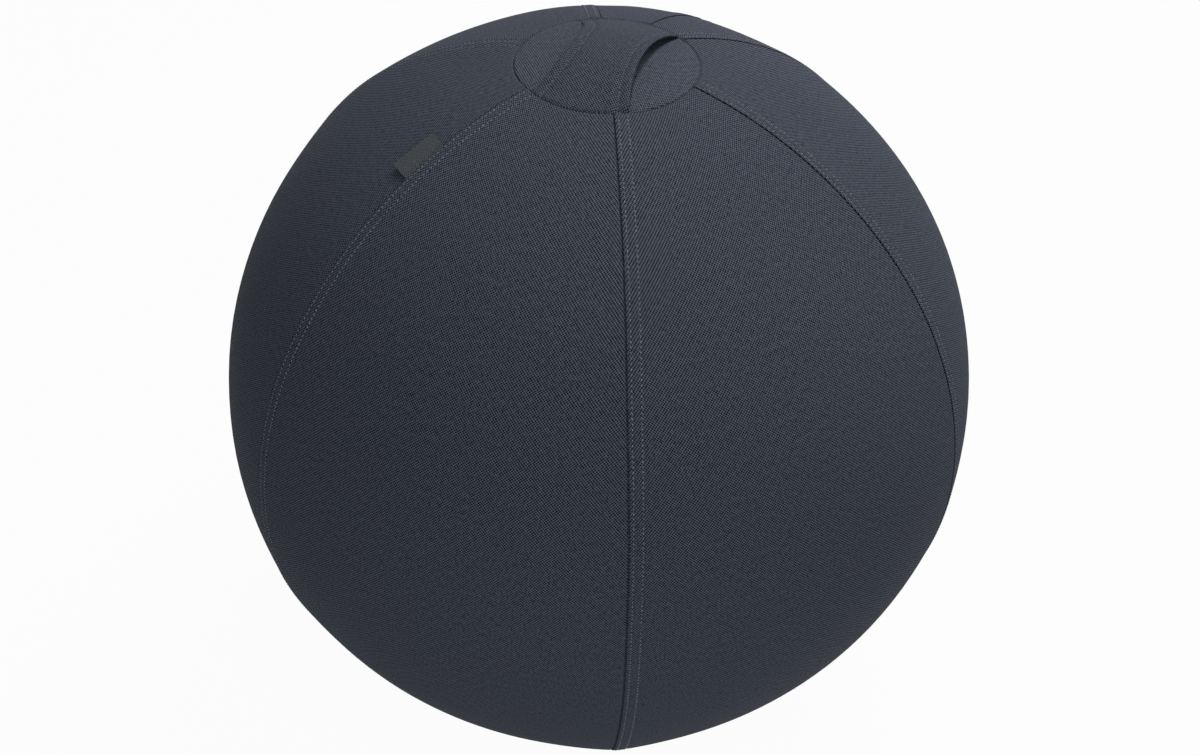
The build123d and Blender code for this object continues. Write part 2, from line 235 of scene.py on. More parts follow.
# Lapped seam: places across it from its ditch, in mm, with the cloth's height over the round
seam = {
    "fold": (   # the lapping gore: turned-in allowance, fold, stitched band, slow run-out
        (7.0, -0.15), (3.0, -0.15), (1.1, -0.15), (0.5, -0.14), (0.12, -0.04), (0.0, 0.1), (0.06, 0.26),
        (0.25, 0.4), (0.7, 0.52), (1.9, 0.66), (2.8, 0.68), (3.7, 0.73), (4.9, 0.74), (6.3, 0.73), (7.7, 0.7),
        (8.8, 0.67), (9.7, 0.62), (10.5, 0.54), (11.0, 0.32), (11.4, 0.2), (11.9, 0.28), (12.5, 0.37),
        (13.3, 0.39), (15.0, 0.37), (18.0, 0.31), (23.0, 0.22), (31.0, 0.11), (42.0, 0.0),
    ),
    "foldTop": 5,   # first column of the fold's upper side
    "foldKept": 13.3 * mm,   # columns further in draw together where the gore is narrow
    "tuck": (   # the gore that runs under its neighbour's fold, from the inside out
        (25.0, 0.0), (16.0, 0.02), (9.0, 0.08), (5.0, 0.13), (2.9, 0.13), (2.2, 0.09), (1.75, 0.0),
        (1.5, -0.2), (1.3, -0.7), (1.1, -1.2), (-0.6, -1.4), (-2.5, -1.4), (-5.5, -1.3),
    ),
    "tuckKept": 5.0 * mm,
    "closer": 0.65 * mm,   # nearer by this in all ditches but the front one
    "closerRun": (1.6 * mm, 5.0 * mm),
    "edgeShare": 0.45,   # of a gore's width, for the columns of one edge
    "leastPull": 0.02,
    "middleColumns": 22,
    "stitchPitch": 3.8 * mm,
    "stitchRows": (2.8 * mm, 9.7 * mm),
    "dimple": 0.45 * mm,   # cloth drawn in at the needle holes
    "dimpleWidth": 0.75 * mm,
    "holeShare": 0.45,   # half of the depth lost between the holes
    "wander": 0.35 * mm,   # how far the ditch strays from a true line
    "wanderWaves": ((1.0, 5.1, 1.9), (0.6, 11.7, 3.1)),   # size, waves down the seam, shift from seam to seam
    "pucker": 0.24 * mm,   # the folded edge drawn back at each stitch
    "endMargin": 3.0 * mm,   # first stitch from the disc's seam
    "endDip": 1.3 * mm,
    "endDipRun": 1.5 * mm,
    "endRows": (0.0, 0.35, 0.8, 1.4, 2.1),   # before the first stitch, in mm
    "bandEnd": 0.35,   # share of the band's height left at the disc's seam
    "bandEndRun": 5.0 * mm,
}

# Hems beside the zip, and the plain lapped edge above it
zipLine = {
    "hem": (   # from the folded edge: turned-in cloth, fold, hem, flat cloth
        (6.0, -0.4), (1.5, -0.4), (0.5, -0.36), (0.1, -0.15), (0.0, 0.1), (0.12, 0.38), (0.5, 0.56),
        (1.3, 0.62), (3.0, 0.62), (5.0, 0.62), (6.8, 0.6), (7.5, 0.57), (8.2, 0.56), (9.0, 0.5),
        (10.0, 0.36), (11.5, 0.2), (14.0, 0.08), (18.0, 0.0),
    ),
    "hemTop": 4,
    "hemKept": 10.0 * mm,
    "hemStitchRow": 7.5 * mm,
    "topPolar": radians(33.07),
    "bottomPolar": radians(118.0),
    "turn": radians(1.8),   # over which the edges open to the zip
    "opening": 4.7 * mm,
    "lap": 3.0 * mm,
    "underlap": 4.5 * mm,
    "butt": 0.1 * mm,
    "lapRaised": 0.12 * mm,
    "lapRun": (8.0 * mm, 18.0 * mm),   # from the edge, where the raised lap comes down
    "underSunk": 0.5 * mm,
    "underRun": 1.0 * mm,
}

stitchCount = round((coverLength - 2 * seam["endMargin"]) / seam["stitchPitch"])
stitchPitch = (coverLength - 2 * seam["endMargin"]) / stitchCount
endRows = np.array(seam["endRows"]) * mm
stitchedRows = seam["endMargin"] + stitchPitch / 2 * np.arange(2 * stitchCount + 1)
rowPlaces = np.concatenate((endRows, stitchedRows, coverLength - endRows[::-1]))
rowPolar = discPolar + rowPlaces / ball["radius"]


def seamAzimuth(seamIndex):
    return radians(ball["firstSeam"]) + goreAngle * seamIndex


def goreLobe(share, polar):   # how far the cloth stands off the round, by its place across a whole gore
    ridge = np.abs(2 * np.clip(share, 0, 1) - 1) ** ball["lobeSharpness"]
    height = ridge * (ball["seamProud"] + ball["middleSunk"]) - ball["middleSunk"]
    return np.sin(polar) ** ball["poleFade"] * height


def halfLobe(share, polar):   # the same from a seam, 0, to the zip, 1
    share = np.clip(share, 0, 1)
    ridge = (ball["seamProud"] + ball["halfSunk"]) * (1 - share) ** ball["halfSharpness"]
    ridge = ridge + ball["zipProud"] * share ** ball["halfSharpness"]
    return np.sin(polar) ** ball["poleFade"] * (ridge - ball["halfSunk"])


def ripple(azimuth, polar):   # slow unevenness of the stretched cloth, the same on both sides of a seam
    wave = np.sin(3 * azimuth + 5 * polar + 0.7) * np.sin(4.3 * polar + 1.1)
    wave = wave + 0.6 * np.sin(7 * azimuth - 8.2 * polar + 2.0) + 0.4 * np.sin(13 * azimuth + 11 * polar)
    height = ball["ripple"] * wave / 2 * np.sin(polar)
    for seamIndex, swell, middle, spread in ball["swells"]:
        away = (azimuth - seamAzimuth(seamIndex)) / ball["swellWidth"]
        along = (polar - radians(middle)) / radians(spread)
        height = height + swell * np.exp(-away ** 2 - along ** 2)
    return height


def strayed(polar, seamIndex):   # sideways wander of a seam, in metres
    waves = [size * np.sin(count * polar + shift * seamIndex) for size, count, shift in seam["wanderWaves"]]
    return seam["wander"] * sum(waves) * np.sin(polar)


def fromEnd(place):
    return np.minimum(place, coverLength - place)


def rolledEnd(place):   # the cloth dips into the seam of each disc
    return -seam["endDip"] * (1 - smoothStep(0, seam["endDipRun"], fromEnd(place)))


def bandEnd(place):   # the raised band flattens before the disc's seam
    return seam["bandEnd"] + (1 - seam["bandEnd"]) * smoothStep(0, seam["bandEndRun"], fromEnd(place))


def drawnIn(across, place, lines):   # dimples along the stitch rows, deepest at the needle holes
    phase = np.cos(2 * pi * (place - seam["endMargin"]) / stitchPitch)
    depth = seam["dimple"] * (1 + seam["holeShare"] * (phase - 1))
    return -depth * sum(np.exp(-(((across - line) / seam["dimpleWidth"]) ** 2)) for line in lines)


def zipShare(polar):   # shares of the plain lap above the zip and of the zip's own stretch
    above = 1 - smoothStep(zipLine["topPolar"] - zipLine["turn"], zipLine["topPolar"], polar)
    below = smoothStep(zipLine["bottomPolar"], zipLine["bottomPolar"] + zipLine["turn"], polar)
    return above, 1 - above - below


def hemOffset(polar, past):   # folded edge from the middle of the zip
    above, beside = zipShare(polar)
    return zipLine["opening"] * beside - past * above + zipLine["butt"] * (1 - above - beside)


def puckered(polar):
    place = (polar - discPolar) * ball["radius"] - seam["endMargin"]
    return seam["pucker"] * np.cos(2 * pi * place / stitchPitch)


plainEdge = {   # what an edge has unless it says otherwise
    "top": 0,
    "lines": (),
    "offset": lambda polar: 0,
    "lift": lambda place, polar: 1,
    "raise": lambda polar, distance: 0,
}


def foldEdge():
    return {
        **plainEdge,
        "table": np.array(seam["fold"]) * mm,
        "top": seam["foldTop"],
        "kept": seam["foldKept"],
        "lines": seam["stitchRows"],
        "offset": puckered,
        "lift": lambda place, polar: bandEnd(place),
    }


def tuckEdge(seamIndex):   # the front seam's ditch gapes, and the others are closer
    table = np.array(seam["tuck"])[::-1] * mm
    if seamIndex % ball["goreCount"] != 0:
        table[:, 0] -= seam["closer"] * (1 - smoothStep(*seam["closerRun"], table[:, 0]))
    return {**plainEdge, "table": table, "kept": seam["tuckKept"]}


def hemEdge(lapsOver):
    past = zipLine["lap"] if lapsOver else zipLine["underlap"]
    raised = zipLine["lapRaised"] if lapsOver else -zipLine["underSunk"]
    flatter = 0 if lapsOver else 1
    hidden = zipLine["lap"] + zipLine["underlap"]
    reach = zipLine["lapRun"] if lapsOver else (hidden, hidden + zipLine["underRun"])
    return {
        "table": np.array(zipLine["hem"]) * mm,
        "top": zipLine["hemTop"],
        "kept": zipLine["hemKept"],
        "lines": (zipLine["hemStitchRow"],),
        "offset": lambda polar: hemOffset(polar, past),
        "lift": lambda place, polar: bandEnd(place) * (1 - flatter * zipShare(polar)[0]),
        "raise": lambda polar, distance: raised * zipShare(polar)[0] * (1 - smoothStep(*reach, distance)),
    }


def edgeColumns(edge, index, place, polar, width):   # distance from the edge's line, and height, at a column
    index = np.clip(index, 0, len(edge["table"]) - 1)
    distance, height = edge["table"][index].T
    furthest = edge["table"][-1, 0]
    room = seam["edgeShare"] * width - edge["kept"]
    pull = np.clip(room / (furthest - edge["kept"]), seam["leastPull"], 1)
    drawn = np.where(distance > edge["kept"], edge["kept"] + (distance - edge["kept"]) * pull, distance)
    height = height * edge["lift"](place, polar) + edge["raise"](polar, distance)
    if edge["lines"]:   # a hem has one row of stitches, and none above the zip
        lapped = zipShare(polar)[0] if len(edge["lines"]) == 1 else 0
        dimples = drawnIn(distance, place, edge["lines"]) * (1 - lapped)
        height = height + np.where(index >= edge["top"], dimples, 0)
    return edge["offset"](polar) + drawn, height


def layCloth(name, startAzimuth, span, startEdge, endEdge, lobe, stray):
    first, last, between = len(startEdge["table"]), len(endEdge["table"]), seam["middleColumns"]
    total = first + between + last
    obj, row, column = spunPatch(name, len(rowPlaces), total)
    place, polar = rowPlaces[row], rowPolar[row]
    around = ball["radius"] * np.sin(polar)
    width = span * around
    nearStart, startHeight = edgeColumns(startEdge, column, place, polar, width)
    nearEnd, endHeight = edgeColumns(endEdge, total - 1 - column, place, polar, width)
    low = edgeColumns(startEdge, np.full_like(column, first - 1), place, polar, width)[0]
    high = width - edgeColumns(endEdge, np.full_like(column, last - 1), place, polar, width)[0]
    share = (column - first + 1) / (between + 1)
    across = np.where(share < 1, low + share * (high - low), width - nearEnd)
    across = np.where(share <= 0, nearStart, across)
    height = np.where(share <= 0, startHeight, np.where(share >= 1, endHeight, 0))
    azimuth = startAzimuth + (across + stray(across / width, polar)) / around
    radius = ball["radius"] + lobe(across / width, polar) + ripple(azimuth, polar) + height + rolledEnd(place)
    writePoints(obj, ballPoint(azimuth, polar, radius))
    setCut(obj, np.stack((across - width / 2, place), axis=1))
    addWall(obj, ball["clothThickness"])
    return obj


def wholeGore(name, seamIndex):
    nextIndex = (seamIndex + 1) % ball["goreCount"]

    def stray(share, polar):
        near = 1 - smoothStep(0, 1, share)
        return near * strayed(polar, seamIndex) + (1 - near) * strayed(polar, nextIndex)

    def lobe(share, polar):
        fuller = ball["fuller"].get(seamIndex, 0) * np.sin(pi * np.clip(share, 0, 1)) ** 2
        return goreLobe(share, polar) + fuller * np.sin(polar)

    return layCloth(name, seamAzimuth(seamIndex), goreAngle, foldEdge(), tuckEdge(seamIndex + 1), lobe, stray)


def zipHalves():
    right = layCloth("goreClothZipRight", seamAzimuth(2), goreAngle / 2, foldEdge(), hemEdge(False), halfLobe,
                     lambda share, polar: (1 - smoothStep(0, 1, share)) * strayed(polar, 2))
    left = layCloth("goreClothZipLeft", seamAzimuth(2.5), goreAngle / 2, hemEdge(True), tuckEdge(3),
                    lambda share, polar: halfLobe(1 - share, polar),
                    lambda share, polar: smoothStep(0, 1, share) * strayed(polar, 3))
    return right, left


def stitchPlaces():   # the middle of each stitch, from the top disc's seam and from the top
    place = seam["endMargin"] + stitchPitch * (np.arange(stitchCount) + 0.5)
    return place, discPolar + place / ball["radius"]


def rowHeight(edge, line, place):   # height of the cloth under a row of stitches
    distance, height = edge["table"][edge["top"]:].T
    return np.interp(line, distance, height) * bandEnd(place) + drawnIn(line, place, edge["lines"])


def rowTurns(azimuth, polar, radius):
    polarStep = 0.002   # on to the next point of the row, for its direction
    points = ballPoint(azimuth, polar, radius)
    ahead = ballPoint(azimuth, polar + polarStep, radius)
    return stitchTurns(points, ahead - points, points - np.array(ballMiddle))


def seamStitches(name, seamIndex, lobe, span):   # two rows of topstitching on a gore's band
    place, polar = stitchPlaces()
    around = ball["radius"] * np.sin(polar)
    turns = []
    for line in seam["stitchRows"]:
        azimuth = seamAzimuth(seamIndex) + (line + strayed(polar, seamIndex)) / around
        height = rowHeight(foldEdge(), line, place)
        radius = ball["radius"] + lobe(line / (span * around), polar) + ripple(azimuth, polar) + height
        turns.append(rowTurns(azimuth, polar, radius))
    return makeStitches(name, np.concatenate(turns))


def hemStitches(name, side):   # one row on the hem, from the zip's top down; side 1 is towards +X
    place, polar = stitchPlaces()
    keep = polar > zipLine["topPolar"]
    place, polar = place[keep], polar[keep]
    around = ball["radius"] * np.sin(polar)
    across = hemOffset(polar, 0) + zipLine["hemStitchRow"]
    azimuth = pi - side * across / around
    height = rowHeight(hemEdge(side < 0), zipLine["hemStitchRow"], place)
    lobe = halfLobe(1 - across / (goreAngle / 2 * around), polar)
    radius = ball["radius"] + lobe + ripple(azimuth, polar) + height
    return makeStitches(name, rowTurns(azimuth, polar, radius))


gores = {-1: "front", 0: "front_right", 1: "back_right", 3: "back_left", 4: "front_left"}
coverPieces, stitchPieces = [], []
for seamIndex, side in gores.items():
    word = "".join(part.capitalize() for part in side.split("_"))
    gore = wholeGore("goreCloth" + word, seamIndex)
    rows = seamStitches("seamStitches" + word, seamIndex, goreLobe, goreAngle)
    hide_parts("gore_" + side)
    coverPieces.append(gore)
    stitchPieces.append([rows])
zipRight, zipLeft = zipHalves()
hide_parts("zip_gore_right")
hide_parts("zip_gore_left")
coverPieces += [zipRight, zipLeft]
rows = seamStitches("seamStitchesZipRight", 2, halfLobe, goreAngle / 2)
stitchPieces += [[rows, hemStitches("hemStitchesRight", 1)], [hemStitches("hemStitchesLeft", -1)]]
print("gores and their stitches made")

# Carry strap over the top disc, in two halves that meet at its crown
strap = {
    "turn": radians(6.0),
    "reach": 71.75 * mm,
    "rightWaist": 29.8 * mm,
    "rightFlare": (9.4 * mm, 9.4 * mm),   # front, back
    "leftWaist": 27.2 * mm,
    "leftFlare": (12.0 * mm, 18.0 * mm),
    "crownLift": 8.0 * mm,
    "liftAcross": ((-1, 0.7), (-0.85, 0.84), (-0.5, 0.95), (0, 1.0), (0.6, 1.0), (1, 0.9)),
    "liftPower": 1.25,
    "sewnFrom": 0.86,   # share of the reach beyond which it lies sewn down
    "openEdge": (0.12, 0.0),   # how much further the right and left edges run open
    "edgeLift": 2.0 * mm,   # how far the edges stand off more than the middle
    "rightAgape": ((0.2, 1.0), (0.93, 0.999)),   # from where across, and until where along
    "leftAgape": ((0.75, 1.0), (0.4, 0.75)),
    "thickness": 1.3 * mm,
    "clearance": 0.1 * mm,
    "edgeRoll": 0.7 * mm,
    "edgeRollWidth": 1.6 * mm,
    "edgeRollEnd": (0.85, 1.0),
    "endThinner": 0.8,   # of the thickness, lost towards the sewn end
    "endThinFrom": 0.8,
    "endRoll": 1.5 * mm,
    "endRollWidth": 2.2 * mm,
    "endRollPower": 1.5,
    "rows": 46,
    "columns": 64,
    "columnPower": 1.6,   # closer columns at the edges
    "hemRow": 7.8 * mm,
    "hemDip": 1.1 * mm,
    "hemWidth": 2.6 * mm,
    "hemStitches": 18,
}

# Discs that close the ring of gores at the top and the base
discs = {
    "edge": (   # radius and drop of the turned rim, in mm
        (69.4, 0.0), (70.4, -0.05), (71.0, -0.18), (71.4, -0.42), (71.65, -0.85), (71.78, -1.5),
        (71.85, -2.6),
    ),
    "rings": 48,
    "steps": 288,
    "topSunk": 0.2 * mm,
    "hollow": 2.7 * mm,   # under the strap's open right edge
    "hollowBack": 0.6,   # share of it left at the back
    "hollowBackFrom": 0.5,
    "hollowWidth": 14.0 * mm,
    "hollowEdge": (-0.4 * mm, 2.2 * mm),
    "hollowEnd": (0.92, 0.99),
    "flatRadius": 54.0 * mm,
    "flatRings": 16,
    "slopeRings": 10,
    "slopeLeast": 0.12 * mm,   # height of the slope where it leaves the floor
    "ladderCount": 150,
    "ladderStart": 0.3,   # of a stitch's share of the round
    "ladderSunk": 1.0 * mm,
    "ladderBit": {**thread, "length": 1.3 * mm, "width": 0.75 * mm, "height": 0.6 * mm, "slant": 0.5},
}


def spunDisc(name, profile, outward):   # profile of radius and height, from the middle out
    bm = spunProfile(profile, discs["steps"])
    turnOutward(bm, (0, 0, profile[0][1] - outward))
    obj = keepObject(name, bm)
    smoothFaces(obj)
    setCut(obj, readPoints(obj)[:, :2])
    return obj


def strapWidths(along, half):   # right and left of the strap's middle
    flare = 0 if half < 0 else 1
    right = strap["rightWaist"] + strap["rightFlare"][flare] * along ** 2
    left = strap["leftWaist"] + strap["leftFlare"][flare] * along ** 2
    return right, left


def turnFlat(angle, x, y):
    return cos(angle) * x - sin(angle) * y, sin(angle) * x + cos(angle) * y


def hollowDepth(points):   # how far the disc sinks under the strap's right edge
    x, y = turnFlat(-strap["turn"], points[:, 0], points[:, 1])
    inside = np.minimum(np.abs(x), 0.98 * strap["reach"])   # so that the root below is never nought
    along = np.abs(y) / np.sqrt(strap["reach"] ** 2 - inside ** 2)
    right = np.where(y < 0, strapWidths(along, -1)[0], strapWidths(along, 1)[0])
    inset = right - x
    sunk = smoothStep(*discs["hollowEdge"], inset)
    sunk = sunk * (1 - smoothStep(discs["hollowWidth"] / 2, discs["hollowWidth"], inset))
    toBack = smoothStep(0, discs["hollowBackFrom"], y / strap["reach"])
    depth = discs["hollow"] * (1 - (1 - discs["hollowBack"]) * toBack)
    return depth * sunk * (1 - smoothStep(*discs["hollowEnd"], along))


def topDisc():
    inner = np.linspace(0, discs["edge"][0][0] * mm, discs["rings"])[:-1]
    profile = [(r, 0.0) for r in inner] + [(r * mm, drop * mm) for r, drop in discs["edge"]]
    top = ballMiddle.z - discs["topSunk"]
    profile = [(r, top + sqrt(ball["radius"] ** 2 - r * r) + drop) for r, drop in profile]
    obj = spunDisc("topDiscCloth", profile, 1)
    points = readPoints(obj)
    points[:, 2] -= hollowDepth(points)
    writePoints(obj, points)
    return obj


def baseDisc():
    def bowl(r):
        return ballMiddle.z - sqrt(ball["radius"] ** 2 - r * r)

    profile = [(r, 0.0) for r in np.linspace(0, discs["flatRadius"], discs["flatRings"])]
    for r in np.linspace(discs["flatRadius"], discs["edge"][0][0] * mm, discs["slopeRings"])[1:-1]:
        profile.append((r, max(discs["slopeLeast"], bowl(r))))
    profile += [(r * mm, bowl(r * mm) - drop * mm) for r, drop in discs["edge"]]
    return spunDisc("baseDiscCloth", profile, -1)


def ladderStitches(name, sign):   # short threads across the groove between a disc and the gores
    turn = 2 * pi * (np.arange(discs["ladderCount"]) + discs["ladderStart"]) / discs["ladderCount"]
    polar = np.full_like(turn, discPolar if sign > 0 else pi - discPolar)
    points = ballPoint(turn, polar, ball["radius"] - discs["ladderSunk"])
    inward = points * np.array((-1, -1, 0))
    return makeStitches(name, stitchTurns(points, inward, points - np.array(ballMiddle), discs["ladderBit"]))


topCloth, baseCloth = topDisc(), baseDisc()
topLadder, baseLadder = ladderStitches("ladderStitchesTop", 1), ladderStitches("ladderStitchesBase", -1)
for obj, node in ((topCloth, "top_disc"), (baseCloth, "base_disc")):
    addWall(obj, ball["clothThickness"])
    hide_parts(node)
print("discs made")


def strapSurface(share, along, half):   # share -1 to 1 across, along 0 crown to 1 sewn end
    right, left = strapWidths(along, half)
    x = np.where(share > 0, right * share, left * share)
    y = half * along * np.sqrt(strap["reach"] ** 2 - x * x)
    width = np.where(share > 0, right, left)
    inset = width * (1 - np.abs(share))
    table = np.array(strap["liftAcross"])
    lift = np.interp(share, table[:, 0], table[:, 1]) * strap["crownLift"]
    openEdge = np.where(share > 0, *strap["openEdge"]) * share ** 2
    toEnd = np.clip(along / (strap["sewnFrom"] + openEdge), 0, 1)
    lift = lift * (1 - toEnd ** 2) ** strap["liftPower"]
    for side, (across, until) in ((1, strap["rightAgape"]), (-1, strap["leftAgape"])):
        lift = lift + strap["edgeLift"] * smoothStep(*across, side * share) * (1 - smoothStep(*until, along))
    roll = -strap["edgeRoll"] * (1 - smoothStep(0, strap["edgeRollWidth"], inset))
    roll = roll * (1 - smoothStep(*strap["edgeRollEnd"], along))
    dip = -strap["hemDip"] * np.exp(-(((inset - strap["hemRow"]) / strap["hemWidth"]) ** 2))
    reach = np.hypot(x, y)
    thinner = strap["endThinner"] * smoothStep(strap["endThinFrom"], 1, reach / strap["reach"])
    over = smoothStep(strap["reach"] - strap["endRollWidth"], strap["reach"], reach)
    fall = strap["endRoll"] * over ** strap["endRollPower"]
    rest = strap["thickness"] * (1 - thinner) + strap["clearance"] - fall
    z = ballMiddle.z + np.sqrt(ball["radius"] ** 2 - x * x - y * y) + rest + lift + roll + dip
    longer = 1 + fall / strap["reach"]   # the weave follows the cloth over its end
    points = np.stack((*turnFlat(strap["turn"], x, y), z), axis=-1)
    return points, np.stack((x * longer, y * longer), axis=-1)


def strapHalf(name, half):
    obj, at = flatGrid(name, strap)
    share = np.sign(at[:, 0]) * (1 - (1 - np.abs(at[:, 0])) ** strap["columnPower"])
    along = half * at[:, 1] / 2 + 0.5
    points, cut = strapSurface(share, along, half)
    writePoints(obj, points)
    setCut(obj, cut)
    addWall(obj, strap["thickness"])
    return obj


def strapStitches(name, half):
    turns, count = [], strap["hemStitches"]
    step = 0.01   # on to the next point, for the row's direction and the cloth's
    for side in (-1, 1):
        along = (np.arange(count) + 0.5) / (count + 0.5)
        width = strapWidths(along, half)[0 if side > 0 else 1]
        share = side * (1 - strap["hemRow"] / width)
        points = strapSurface(share, along, half)[0]
        ahead = strapSurface(share, along + step, half)[0]
        beside = strapSurface(share + step, along, half)[0]
        outward = np.cross(beside - points, (ahead - points) * half)
        turns.append(stitchTurns(points, ahead - points, outward))
    return makeStitches(name, np.concatenate(turns))


strapPieces = []
for word, half in (("Front", -1), ("Back", 1)):
    cloth, rows = strapHalf("strapCloth" + word, half), strapStitches("strapStitches" + word, half)
    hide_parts("carry_strap")
    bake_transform(cloth)
    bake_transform(rows)
    strapPieces.append((cloth, rows))
print("strap made")

# Folded label in the front left seam, bare
label = {
    "polar": radians(29.7),
    "seamIndex": -1,
    "length": 37.0 * mm,
    "height": 17.0 * mm,
    "start": -0.5 * mm,
    "dipIn": 2.4 * mm,   # how deep it goes into the seam
    "dipRun": (0.3 * mm, 2.4 * mm),
    "gap": 0.5 * mm,
    "curl": 1.5 * mm,
    "bend": (0.8 * mm, 9.0 * mm),   # out from the seam, where the label would bend when turned over; the points worked out from these are not used
    "foldShare": 0.08,   # share of each ply that makes the fold
    "loop": 0.55 * mm,
    "puff": 0.25 * mm,
    "thickness": 0.35 * mm,
    "rows": 24,
    "columns": 40,
}


def foldedLabel():
    obj, at = flatGrid("labelRibbon", label)
    around = at[:, 0]   # -1 lower ply at the seam, 0 the fold, 1 upper ply at the seam
    along = at[:, 1] * label["length"] / 2
    fold = label["foldShare"]
    overFold = np.clip(around / fold, -1, 1)
    reach = label["height"] - label["loop"]
    ply = reach * (1 - (np.abs(around) - fold) / (1 - fold))
    out = np.where(np.abs(around) > fold, ply, reach + label["loop"] * np.cos(overFold * pi / 2))
    puff = label["puff"] * np.sin(np.clip(out / label["height"], 0, 1) * pi)
    rise = label["loop"] * np.sin(overFold * pi / 2) + puff * overFold
    sunk = -label["dipIn"] * (1 - smoothStep(*label["dipRun"], out))
    curl = label["curl"] * (out / label["height"]) ** 2 + along ** 2 / (2 * ball["radius"])
    polar = label["polar"] + along / ball["radius"]
    circle = ball["radius"] * np.sin(label["polar"])

    def turnAt(distance):   # azimuth at a distance out from the seam
        return seamAzimuth(label["seamIndex"]) - (label["start"] + distance) / circle

    azimuth = turnAt(out)
    lobe = goreLobe(1 - out / (goreAngle * circle), label["polar"]) + ripple(azimuth, polar)
    base = ball["radius"] + lobe + label["gap"] + label["loop"] + label["thickness"]
    writePoints(obj, ballPoint(azimuth, polar, base + rise + curl + sunk))
    setCut(obj, np.stack((around * label["height"], along), axis=1))
    addWall(obj, label["thickness"])
    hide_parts("label_tab")
    bend = [Vector(ballPoint(turnAt(distance), label["polar"], ball["radius"])) for distance in label["bend"]]
    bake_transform(obj)
    return obj


labelRibbon = foldedLabel()

# Zip: tapes, coil teeth, and the metal pieces that stay as the frame has them
zipper = {
    "tapeRadius": 323.55 * mm,
    "tapeThickness": 0.55 * mm,
    "tapeInner": 0.5 * mm,
    "tapeOuter": 13.0 * mm,
    "tapeColumns": 8,
    "tapeRows": 160,
    "coilRadius": 324.8 * mm,
    "coilPitch": 1.5 * mm,
    "firstTooth": (0.5, 1.0),   # right and left, in pitches from the top stop
    "lastTooth": 0.4,   # in pitches from the bottom stop
    "toothReach": (-0.4 * mm, 3.1 * mm),
    "toothHeight": 2.0 * mm,
    "toothLength": 1.05 * mm,
    "toothSegments": 8,
    "toothRings": 6,
    "stopLength": 5.3 * mm,
}


def zipTape(name, side):
    toTop = Vector((0, sin(zipLine["topPolar"]), cos(zipLine["topPolar"])))
    start = ballMiddle + zipper["tapeRadius"] * toTop
    across = np.linspace(zipper["tapeInner"], zipper["tapeOuter"], zipper["tapeColumns"])
    bm = vertexLine([start + Vector((side * x, 0, 0)) for x in across])
    bmesh.ops.spin(bm, geom=bm.verts[:] + bm.edges[:], cent=ballMiddle, axis=(1, 0, 0),
                   angle=zipLine["topPolar"] - zipLine["bottomPolar"], steps=zipper["tapeRows"])
    turnOutward(bm, ballMiddle)
    obj = keepObject(name, bm)
    smoothFaces(obj)
    points = readPoints(obj)
    polar = np.arctan2(points[:, 1], points[:, 2] - ballMiddle.z)
    setCut(obj, np.stack((points[:, 0], polar * zipper["tapeRadius"]), axis=1))
    addWall(obj, zipper["tapeThickness"])
    return obj


def zipCoil(name, side):   # a row of nylon teeth that reach a little past the middle
    start = zipLine["topPolar"] + zipper["stopLength"] / ball["radius"]
    end = zipLine["bottomPolar"] - zipper["stopLength"] / ball["radius"]
    pitch = zipper["coilPitch"] / zipper["coilRadius"]
    first = zipper["firstTooth"][0 if side > 0 else 1]
    polar = np.arange(start + first * pitch, end - zipper["lastTooth"] * pitch, pitch)
    low, high = zipper["toothReach"]
    points = ballPoint(np.full_like(polar, pi), polar, zipper["coilRadius"])
    out = unit(points - np.array(ballMiddle))
    points = points + np.array((side * (low + high) / 2, 0, 0))
    across = np.broadcast_to(np.array((1.0, 0, 0)), out.shape)
    run = np.cross(across, out)
    columns = (across * (high - low), out * zipper["toothHeight"], run * zipper["toothLength"], points)
    bm = bmesh.new()
    bmesh.ops.create_uvsphere(bm, u_segments=zipper["toothSegments"], v_segments=zipper["toothRings"],
                              radius=0.5, matrix=Matrix.Rotation(pi / 2, 4, "Y"))
    return repeatShape(name, bm, np.stack(columns, axis=-1))


zipPieces = []
for word, side in (("Right", 1), ("Left", -1)):
    tape, coil = zipTape("zipTape" + word, side), zipCoil("zipCoil" + word, side)
    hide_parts("zip_tape_" + word.lower())
    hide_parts("zip_coil_" + word.lower())
    zipPieces.append((tape, coil))
print("label and zip made")

# Inside: the air bladder with its valve, and the ballast pouch
bladder = {
    "radius": 321.2 * mm,
    "floor": 21.75 * mm,
    "wall": 1.0 * mm,
    "valveAzimuth": radians(165.0),
    "valvePolar": radians(70.0),
    "boss": (   # off the valve's axis and from the ball's middle, in mm
        (7.7, 321.9), (7.7, 323.0), (8.2, 323.3), (12.0, 323.25), (14.5, 322.7), (18.0, 321.6),
    ),
    "bossReach": 20.0 * mm,
    "rings": 90,
    "steps": 120,
}


